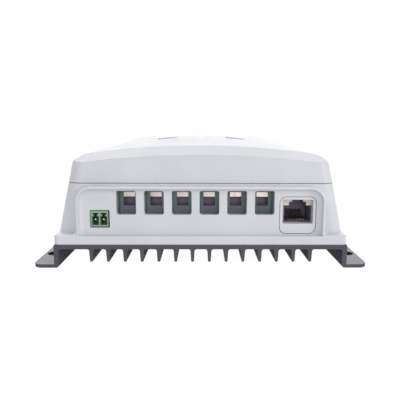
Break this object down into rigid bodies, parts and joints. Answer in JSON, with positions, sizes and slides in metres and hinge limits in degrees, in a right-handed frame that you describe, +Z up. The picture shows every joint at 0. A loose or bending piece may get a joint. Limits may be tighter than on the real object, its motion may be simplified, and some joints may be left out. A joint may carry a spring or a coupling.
{
  "type": "solar charge controller",
  "caption": "Solar charge controller: pale moulded case on a finned heat sink with screw flanges, wire clamps and data socket at one end, display and buttons on top.",
  "frame": {"origin": "centre of the footprint, on the undersides of the mounting flanges", "axes": "+Z up, away from the mounting surface; -Y towards the wire terminals; +X to the right seen from the terminals"},
  "size_m": [0.1542, 0.216, 0.0578],
  "materials": {
    "anodised_dark": "matte dark anodised extrusion, lightly lined along its length",
    "case_plastic": "pale cool grey moulded plastic with a fine spark texture",
    "clear_lens": "clear moulded lens",
    "light_pipe": "clear light guide",
    "button_plastic": "muted blue moulded buttons",
    "block_green": "dark green moulded terminal block",
    "header_green": "bright green moulded socket",
    "tinned_copper": "tinned copper",
    "zinc_steel": "zinc plated steel",
    "gilt": "gold plated springs",
    "socket_black": "black moulded housing",
    "plate_plastic": "pale grey moulded insert",
    "cream_lens": "milky light window",
    "board_green": "solder mask over copper",
    "brass": "turned brass",
    "pad_grey": "soft thermal pad",
    "chip_black": "moulded epoxy package",
    "coil_copper": "enamelled copper winding",
    "can_sleeve": "dark shrink sleeve",
    "fuse_plastic": "amber blade fuse",
    "ribbon_grey": "grey flat cable",
    "frame_black": "black display frame",
    "lcd_glass": "grey green liquid crystal glass",
    "led_white": "small light-emitting diode"
  },
  "bodies": {
    "chassis": {"heat_sink": "anodised_dark", "lower_case": "case_plastic", "top_cover": "case_plastic", "display_window": "clear_lens", "light_pipes": "light_pipe", "terminal_block": "block_green", "current_bars": "tinned_copper", "sensor_header": "header_green", "header_pins": "tinned_copper", "port_plate": "plate_plastic", "jack_housing": "socket_black", "jack_contacts": "gilt", "jack_lights": "cream_lens", "main_board": "board_green", "standoffs": "brass", "board_screws": "zinc_steel", "case_screws": "zinc_steel", "cover_screws": "zinc_steel", "display_screws": "zinc_steel", "thermal_pads": "pad_grey", "power_transistors": "chip_black", "storage_coils": "coil_copper", "capacitors": "can_sleeve", "control_chips": "chip_black", "fuse": "fuse_plastic", "ribbon_cable": "ribbon_grey", "display_board": "board_green", "display_frame": "frame_black", "display_glass": "lcd_glass", "button_switches": "frame_black", "indicator_lights": "led_white"},
    "terminal_cover_body": {"terminal_cover": "case_plastic"},
    "select_button_body": {"select_button": "button_plastic"},
    "enter_button_body": {"enter_button": "button_plastic"},
    "terminal_screw_1_body": {"terminal_screw_1": "zinc_steel"},
    "wire_clamp_1_body": {"wire_clamp_1": "zinc_steel"},
    "terminal_screw_2_body": {"terminal_screw_2": "zinc_steel"},
    "wire_clamp_2_body": {"wire_clamp_2": "zinc_steel"},
    "terminal_screw_3_body": {"terminal_screw_3": "zinc_steel"},
    "wire_clamp_3_body": {"wire_clamp_3": "zinc_steel"},
    "terminal_screw_4_body": {"terminal_screw_4": "zinc_steel"},
    "wire_clamp_4_body": {"wire_clamp_4": "zinc_steel"},
    "terminal_screw_5_body": {"terminal_screw_5": "zinc_steel"},
    "wire_clamp_5_body": {"wire_clamp_5": "zinc_steel"},
    "terminal_screw_6_body": {"terminal_screw_6": "zinc_steel"},
    "wire_clamp_6_body": {"wire_clamp_6": "zinc_steel"}
  },
  "joints": [
    {"name": "terminal_cover_lift", "type": "slide", "parent": "chassis", "child": "terminal_cover_body", "axis": [0, 0, 1], "range_m": [0, 0.06]},
    {"name": "select_button_press", "type": "slide", "parent": "chassis", "child": "select_button_body", "axis": [0, 0, -1], "range_m": [0, 0.001], "stiffness_N_per_m": 600},
    {"name": "enter_button_press", "type": "slide", "parent": "chassis", "child": "enter_button_body", "axis": [0, 0, -1], "range_m": [0, 0.001], "stiffness_N_per_m": 600},
    {"name": "terminal_screw_1_turn", "type": "hinge", "parent": "chassis", "child": "terminal_screw_1_body", "pos_m": [-0.03425, -0.0884, 0.038], "axis": [0, 0, 1], "range_deg": [-1800, 0]},
    {"name": "wire_clamp_1_rise", "type": "slide", "parent": "chassis", "child": "wire_clamp_1_body", "axis": [0, 0, 1], "range_m": [0, 0.0035]},
    {"name": "terminal_screw_2_turn", "type": "hinge", "parent": "chassis", "child": "terminal_screw_2_body", "pos_m": [-0.02155, -0.0884, 0.038], "axis": [0, 0, 1], "range_deg": [-1800, 0]},
    {"name": "wire_clamp_2_rise", "type": "slide", "parent": "chassis", "child": "wire_clamp_2_body", "axis": [0, 0, 1], "range_m": [0, 0.0035]},
    {"name": "terminal_screw_3_turn", "type": "hinge", "parent": "chassis", "child": "terminal_screw_3_body", "pos_m": [-0.00885, -0.0884, 0.038], "axis": [0, 0, 1], "range_deg": [-1800, 0]},
    {"name": "wire_clamp_3_rise", "type": "slide", "parent": "chassis", "child": "wire_clamp_3_body", "axis": [0, 0, 1], "range_m": [0, 0.0035]},
    {"name": "terminal_screw_4_turn", "type": "hinge", "parent": "chassis", "child": "terminal_screw_4_body", "pos_m": [0.00385, -0.0884, 0.038], "axis": [0, 0, 1], "range_deg": [-1800, 0]},
    {"name": "wire_clamp_4_rise", "type": "slide", "parent": "chassis", "child": "wire_clamp_4_body", "axis": [0, 0, 1], "range_m": [0, 0.0035]},
    {"name": "terminal_screw_5_turn", "type": "hinge", "parent": "chassis", "child": "terminal_screw_5_body", "pos_m": [0.01655, -0.0884, 0.038], "axis": [0, 0, 1], "range_deg": [-1800, 0]},
    {"name": "wire_clamp_5_rise", "type": "slide", "parent": "chassis", "child": "wire_clamp_5_body", "axis": [0, 0, 1], "range_m": [0, 0.0035]},
    {"name": "terminal_screw_6_turn", "type": "hinge", "parent": "chassis", "child": "terminal_screw_6_body", "pos_m": [0.02925, -0.0884, 0.038], "axis": [0, 0, 1], "range_deg": [-1800, 0]},
    {"name": "wire_clamp_6_rise", "type": "slide", "parent": "chassis", "child": "wire_clamp_6_body", "axis": [0, 0, 1], "range_m": [0, 0.0035]}
  ],
  "couplings": [
    {"joint": "terminal_screw_1_turn", "follows": "wire_clamp_1_rise", "rad_per_m": -8975.9},
    {"joint": "terminal_screw_2_turn", "follows": "wire_clamp_2_rise", "rad_per_m": -8975.9},
    {"joint": "terminal_screw_3_turn", "follows": "wire_clamp_3_rise", "rad_per_m": -8975.9},
    {"joint": "terminal_screw_4_turn", "follows": "wire_clamp_4_rise", "rad_per_m": -8975.9},
    {"joint": "terminal_screw_5_turn", "follows": "wire_clamp_5_rise", "rad_per_m": -8975.9},
    {"joint": "terminal_screw_6_turn", "follows": "wire_clamp_6_rise", "rad_per_m": -8975.9}
  ]
}
